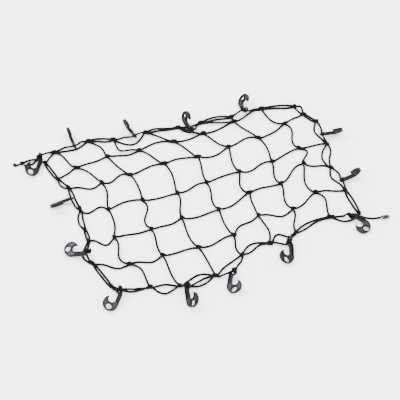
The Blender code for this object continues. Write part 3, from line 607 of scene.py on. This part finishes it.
def smooth_route(points):
    """A smooth curve through the points, in steps of about CORD_STEP."""
    route = []
    padded = [2 * points[0] - points[1]] + points + [2 * points[-1] - points[-2]]
    for before, here, there, after in zip(padded, padded[1:], padded[2:], padded[3:]):
        steps = max(1, round((there - here).length / CORD_STEP))
        for i in range(steps):
            t = i / steps
            route.append(0.5 * (2 * here + (there - before) * t
                                + (2 * before - 5 * here + 4 * there - after) * t ** 2
                                + (3 * here - before - 3 * there + after) * t ** 3))
    return route + [points[-1]]


def threaded(points, along, eye, axis, heading):
    """The strand's points led through a hook's eye, where it bears on the far side of the ring."""
    hairpin = (points[-1] - points[0]).length < HAIRPIN
    forward = axis if (axis.z if hairpin else axis.dot(along)) > 0 else -axis
    slant = HAIRPIN_SLANT if hairpin else THREAD_SLANT
    run = (forward + slant * along).normalized() * THREAD_RUN
    seat = eye - heading * (HAIRPIN_SEAT if hairpin else EYE_SEAT)
    clear = EYE_CLEAR * (HAIRPIN_CLEAR if hairpin else 1)
    half = len(points) // 2
    before = [point for point in points[:half] if (eye - point).dot(along) > clear] or points[:1]
    after = [point for point in points[half:] if (point - eye).dot(along) > clear] or points[-1:]
    before.append(seat - run)
    after.insert(0, seat + run)
    if abs(axis.z) > LYING_AXIS:
        rising = run.z > 0
        up_axis = axis if axis.z > 0 else -axis
        out = (after[1] if rising else before[-2]) - eye
        out = (out - up_axis * out.dot(up_axis)).normalized()
        shoulder = eye + out * SHOULDER_OUT + up_axis * SHOULDER_UP
        if rising:
            after.insert(1, shoulder)
        else:
            before.insert(-1, shoulder)
    return smooth_route(before + [seat] + after)


def border_route(knots, span, side, eyes):
    """Middle line of one border strand, which sets off to one side of its fellow."""
    start, stop, bow, sway, hook = span
    ends, deep = span_frame(knots, start, stop)
    along = (on_floor(*ends[1]) - on_floor(*ends[0])).normalized()
    outwards = UP.cross(along)
    points = []
    for share in BORDER_SHARES if hook else fine_shares(ends):
        reading = board_bulge(*ends, bow, sway, share)
        apart = STRAND_APART * side * abs(2 * share - 1)
        points.append(on_floor(*reading, cord_height(share, 0.0)) + outwards * apart)
    if hook:
        points = threaded(points, along, *eyes[hook])
    return into_knots(points, deep)


def tail_route(rows):
    """Middle line of a loose end."""
    return smooth_route([on_floor(u, v, max(height / 1000, CORD_REST)) for u, v, height in rows])


def wrap_route(knot):
    """Middle line of the cord wound round a knot, its ends tucked in."""
    first = on_floor(*knot[0])
    last = on_floor(*knot[1])
    length = (last - first).length
    along = (last - first) / length
    aside = UP.cross(along)
    start_share, end_share = WRAP_SHARES if length < LONG_KNOT else LONG_WRAP_SHARES
    run = length * (end_share - start_share)
    turns = max(WRAP_LEAST_TURNS, run / WRAP_PITCH)
    steps = round(turns * WRAP_STEPS)
    points = []
    for i in range(steps + 1):
        share = i / steps
        tuck = min(1.0, share / WRAP_TUCK, (1 - share) / WRAP_TUCK)
        radius = WRAP_R * (WRAP_TUCKED + (1 - WRAP_TUCKED) * math.sin(tuck * math.pi / 2))
        angle = 2 * math.pi * turns * share
        middle = first + along * (length * start_share + run * share) + UP * (WRAP_R + CORD / 2)
        slant = along * WRAP_SLANT * math.cos(angle)
        points.append(middle + slant + radius * (aside * math.cos(angle) + UP * math.sin(angle)))
    return points


def eye_turns(eye, axis, heading):
    """Middle line of the border cord's turns about the far side of a hook's eye."""
    across = axis.cross(heading)
    middle = eye - heading * EYE_RING_R
    radius = EYE_WIRE_R + CORD / 2 - TURN_SINK
    steps = round(TURN_COUNT * WRAP_STEPS)
    points = []
    for i in range(steps + 1):
        angle = 2 * math.pi * TURN_COUNT * i / steps
        point = middle + across * TURN_PITCH * TURN_COUNT * (i / steps - 0.5)
        points.append(point + radius * (heading * math.cos(angle) + axis * math.sin(angle)))
    return points


# ---- from curves to meshes --------------------------------------------------------------------------
def converted(curve):
    """A piece made from the curve and turned into a mesh, active and selected by itself."""
    piece = bpy.data.objects.new(curve.name, curve)
    bpy.context.scene.collection.objects.link(piece)
    bpy.ops.object.select_all(action="DESELECT")
    bpy.context.view_layer.objects.active = piece
    piece.select_set(True)
    bpy.ops.object.convert(target="MESH")
    return bpy.context.view_layer.objects.active


def as_mesh(curve):
    """The curve as a mesh piece with its seams closed and its normals outwards."""
    piece = converted(curve)
    bpy.ops.object.mode_set(mode="EDIT")
    bpy.ops.mesh.select_all(action="SELECT")
    bpy.ops.mesh.remove_doubles(threshold=SEAM)
    bpy.ops.mesh.normals_make_consistent(inside=False)
    bpy.ops.object.mode_set(mode="OBJECT")
    return piece


def cords(name, routes):
    """Round cords along the routes, each vertex knowing where it lies on its cord."""
    curve = bpy.data.curves.new(name, "CURVE")
    curve.dimensions = "3D"
    curve.twist_mode = "MINIMUM"
    curve.bevel_depth = (CORD + FLUFF) / 2
    curve.bevel_resolution = CORD_SIDES // 2 - 2
    routes = [[Vector((x, y, max(z, CORD_REST))) for x, y, z in route] for route in routes]
    for route in routes:
        spline = curve.splines.new("POLY")
        spline.points.add(len(route) - 1)
        for slot, point in zip(spline.points, route):
            slot.co = (*point, 1.0)
    piece = converted(curve)
    for corner in piece.data.vertices:
        corner.co.z = max(corner.co.z, 0.0)
    lay = piece.data.attributes.new("lay", "FLOAT_VECTOR", "POINT")
    index = 0
    for route in routes:
        run = 0.0
        for before, point in zip([route[0]] + route, route):
            run += (point - before).length
            for side in range(CORD_SIDES):
                angle = 2 * math.pi * side / CORD_SIDES
                lay.data[index].vector = (math.cos(angle), math.sin(angle), run)
                index += 1
    bpy.ops.object.mode_set(mode="EDIT")
    bpy.ops.mesh.select_all(action="SELECT")
    bpy.ops.mesh.fill_holes(sides=CORD_SIDES)
    bpy.ops.mesh.normals_make_consistent(inside=False)
    bpy.ops.object.mode_set(mode="OBJECT")
    bpy.ops.object.shade_smooth()
    return piece


# ---- making the hooks ------------------------------------------------------------------------------
def arc(middle, radius, first, last):
    """Points on an arc, from angle first to angle last in degrees, ends included."""
    steps = max(2, round(abs(last - first) / ARC_STEP))
    points = []
    for i in range(steps + 1):
        angle = math.radians(first + (last - first) * i / steps)
        points.append((middle[0] + radius * math.cos(angle), middle[1] + radius * math.sin(angle)))
    return points


def rim_line():
    """Middle line of the rim: a round bend with a tip, a round mouth and a shank that ends in the eye."""
    inset = HOOK_RIM / 2
    line = arc((0.0, 0.0), HOOK_BODY_R - inset, HOOK_BACK_TURN, HOOK_TIP_TURN - TIP_BLUNT)
    line += arc(HOOK_MOUTH, HOOK_MOUTH_R + inset, HOOK_TIP_INNER - 2 * TIP_BLUNT, HOOK_THROAT_TURN)
    line += arc(HOOK_EYE, EYE_RING_R, *EYE_TURNS)
    return line + [(x, y + inset) for x, y in HOOK_BACK]


def hole_line():
    """Middle line of the rim round the hole."""
    return arc((HOOK_HOLE_X, 0.0), HOOK_HOLE_R + HOOK_RIM / 2, *HOLE_TURNS)


def flat_curve(name, loops):
    """A curve in the XY plane with closed loops."""
    curve = bpy.data.curves.new(name, "CURVE")
    curve.dimensions = "2D"
    for points in loops:
        spline = curve.splines.new("POLY")
        spline.points.add(len(points) - 1)
        spline.use_cyclic_u = True
        for slot, point in zip(spline.points, points):
            slot.co = (*point, 0.0, 1.0)
    return curve


def rim_bar(points, height):
    """A raised bar with rounded edges, as wide as the rim, along a closed line."""
    half_wide = HOOK_RIM / 2
    half_high = height / 2
    section = flat_curve("section", [
        [(half_wide, half_high - HOOK_EDGE), (half_wide - HOOK_EDGE, half_high),
         (HOOK_EDGE - half_wide, half_high), (-half_wide, half_high - HOOK_EDGE),
         (-half_wide, HOOK_EDGE - half_high), (HOOK_EDGE - half_wide, -half_high),
         (half_wide - HOOK_EDGE, -half_high), (half_wide, HOOK_EDGE - half_high)]])
    profile = bpy.data.objects.new("section", section)
    bpy.context.scene.collection.objects.link(profile)
    curve = flat_curve("rim", [points])
    curve.bevel_mode = "OBJECT"
    curve.bevel_object = profile
    bar = as_mesh(curve)
    bpy.data.objects.remove(profile)
    return bar


def eye_ring():
    """The ring that the border cord is threaded through."""
    bpy.ops.object.select_all(action="DESELECT")
    bpy.ops.mesh.primitive_torus_add(
        location=(*HOOK_EYE, 0.0), major_radius=EYE_RING_R, minor_radius=EYE_WIRE_R,
        major_segments=EYE_STEPS[0], minor_segments=EYE_STEPS[1])
    bpy.ops.object.transform_apply(location=True, rotation=True, scale=True)
    return bpy.context.active_object


def rib_bar(x0, y0, x1, y1):
    """A rib along the shank, with rounded edges."""
    bpy.ops.object.select_all(action="DESELECT")
    bpy.ops.mesh.primitive_cube_add(size=1.0, location=((x0 + x1) / 2, (y0 + y1) / 2, 0.0),
                                    rotation=(0.0, 0.0, math.atan2(y1 - y0, x1 - x0)))
    rib = bpy.context.active_object
    rib.scale = (math.hypot(x1 - x0, y1 - y0), RIB_WIDE, HOOK_FLANGE - 2 * RIB_DROP)
    bpy.ops.object.transform_apply(location=True, rotation=True, scale=True)
    bevel = rib.modifiers.new("edges", "BEVEL")
    bevel.width = HOOK_EDGE
    bevel.segments = RIB_EDGE_STEPS
    bpy.ops.object.modifier_apply(modifier=bevel.name)
    return rib


def hook_blank():
    """One ribbed hook, its bend's centre at the origin, toe along X and mouth side along Y."""
    plate = flat_curve("web", [rim_line(), hole_line()])
    plate.fill_mode = "BOTH"
    plate.extrude = HOOK_WEB / 2
    web = as_mesh(plate)
    bars = [rim_bar(rim_line(), HOOK_FLANGE), rim_bar(hole_line(), HOOK_FLANGE - RIB_DROP)]
    bars.append(eye_ring())
    bars += [rib_bar(*ends) for ends in RIBS]
    for piece in (web, *bars):
        mark = piece.data.attributes.new("web", "FLOAT", "FACE")
        for slot in mark.data:
            slot.value = 1.0 if piece == web else 0.0
        piece.select_set(True)
    bpy.context.view_layer.objects.active = web
    bpy.ops.object.join()
    bpy.ops.object.shade_smooth_by_angle(angle=HOOK_SMOOTH)
    return web


def place_hook(blank, row):
    """A copy of the hook laid on the floor, with its eye's centre, the eye's axis and its heading."""
    number, eye_u, eye_v, toe_u, toe_v, mouth_side, lean, dip, rise = row
    level = (on_floor(toe_u, toe_v) - on_floor(eye_u, eye_v)).normalized()
    left = UP.cross(level)
    heading = Matrix.Rotation(math.radians(dip), 3, left) @ level
    over = heading.cross(left)
    lean_turn = math.radians(lean)
    mouth = math.cos(lean_turn) * mouth_side * left + math.sin(lean_turn) * over
    axis = heading.cross(mouth)
    turn = Matrix((heading, mouth, axis)).transposed()
    eye_plain = Vector((*HOOK_EYE, 0.0))
    height = rise / 1000 - min((turn @ (corner.co - eye_plain)).z for corner in blank.data.vertices)
    eye = on_floor(eye_u, eye_v, height)
    mesh = blank.data.copy()
    mesh.transform(Matrix.Translation(eye) @ turn.to_4x4() @ Matrix.Translation(-eye_plain))
    hook = bpy.data.objects.new(f"ribbed_hook_{number:02d}", mesh)
    bpy.context.scene.collection.objects.link(hook)
    return hook, eye, axis, heading


def clip_piece(tail_points):
    """The speckled clip on the right loose end: a barrel with a mouth collar and two grooves."""
    first, last = clip_axis(tail_points)
    curve = bpy.data.curves.new("speckled_clip", "CURVE")
    curve.dimensions = "3D"
    curve.bevel_depth = CLIP_WIDE / 2
    curve.bevel_resolution = CLIP_ROUND
    curve.use_fill_caps = True
    spline = curve.splines.new("POLY")
    spline.points.add(len(CLIP_PROFILE) - 1)
    for slot, (share, width) in zip(spline.points, CLIP_PROFILE):
        slot.co = (*first.lerp(last, share), 1.0)
        slot.radius = width
    piece = as_mesh(curve)
    bpy.ops.object.shade_smooth_by_angle(angle=CLIP_SMOOTH)
    return piece


# ---- putting it together ---------------------------------------------------------------------------
def dress(piece, material):
    """Gives a piece its material and slot, and makes it part of the only body."""
    piece.data.materials.clear()
    piece.data.materials.append(material)
    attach(piece, "root")


def build_pieces():
    """Every visible piece of the net."""
    cord = braided_cord()
    blank = hook_blank()
    eyes = {}
    for row in HOOKS:
        hook, *eye = place_hook(blank, row)
        eyes[row[0]] = eye
        # each hook's plastic carries its own strength of painted reflection
        dress(hook, moulded_plastic(HOOK_REFLECTION_TONES[row[0] - 1]))
        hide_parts(f"hook_{row[0]:02d}")
    bpy.data.objects.remove(blank)
    knots = knot_table()
    mesh_routes = [mesh_route(knots, span, 0.0, 1) for span in LONG_SPANS]
    mesh_routes += [mesh_route(knots, span, CROSS_LIFT, -1) for span in CROSS_SPANS]
    border_routes = []
    seen = set()
    for span in BORDER_SPANS:
        side = -1 if span[0] in seen else 1
        seen.add(span[0])
        border_routes.append(border_route(knots, span, side, eyes))
    border_routes += [eye_turns(*eyes[number]) for number in TURNED_HOOKS]
    mesh_cords = cords("mesh_cords", mesh_routes)
    border_cords = cords("border_cords", border_routes)
    wraps = cords("knots", [wrap_route(knot) for knot in knots.values()])
    left_end = cords("left_end_cords", [tail_route(rows) for rows in LEFT_TAILS]
                     + [wrap_route(knot) for knot in LEFT_TAIL_KNOTS])
    right_end = cords("right_end_cord", [tail_route(RIGHT_TAIL)])
    for piece in (mesh_cords, border_cords, wraps, left_end, right_end):
        dress(piece, cord)
    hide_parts("net")
    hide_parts("left_end")
    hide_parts("right_end")
    clip = clip_piece([on_floor(u, v, height / 1000) for u, v, height in RIGHT_TAIL])
    dress(clip, speckled_plastic())
    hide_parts("end_clip")


def build_studio():
    """Pale floor, soft light from the left and above, and the camera."""
    bpy.ops.mesh.primitive_plane_add(size=FLOOR_SIZE, location=(0.0, 0.0, -FLOOR_DROP))
    floor = bpy.context.active_object
    floor.name = "floor"
    floor.data.materials.append(floor_paper())

    view_turn = Matrix.Rotation(LAY_TURN, 3, "Z")
    world = bpy.data.worlds.new("studio")
    world.use_nodes = True
    background = world.node_tree.nodes["Background"]
    background.inputs["Color"].default_value = WHITE
    background.inputs["Strength"].default_value = WORLD_STRENGTH
    bpy.context.scene.world = world
    for name, place, size, power in LIGHTS:
        lamp = bpy.data.lights.new(name, "AREA")
        lamp.shape = "DISK"
        lamp.size = size
        lamp.energy = power
        light = bpy.data.objects.new(name, lamp)
        light.location = view_turn @ Vector(place)
        light.rotation_euler = (-light.location).to_track_quat("-Z", "Y").to_euler()
        bpy.context.scene.collection.objects.link(light)

    camera = bpy.data.cameras.new("camera")
    camera.sensor_width = SENSOR
    camera.lens = SENSOR * VIEW_REACH / SQUARE / BOARD_WIDE
    camera.shift_x = -HALF_SQUARE / BOARD_WIDE
    camera.shift_y = HALF_SQUARE / BOARD_WIDE
    camera.clip_end = SIGHT_END
    holder = bpy.data.objects.new("camera", camera)
    back = Vector((0.0, -math.cos(VIEW_SLANT), math.sin(VIEW_SLANT))) * VIEW_REACH
    holder.location = view_turn @ back + BOARD_SHIFT
    holder.rotation_euler = (BOARD_SHIFT - holder.location).to_track_quat("-Z", "Y").to_euler()
    bpy.context.scene.collection.objects.link(holder)
    bpy.context.scene.camera = holder


build_studio()
build_pieces()
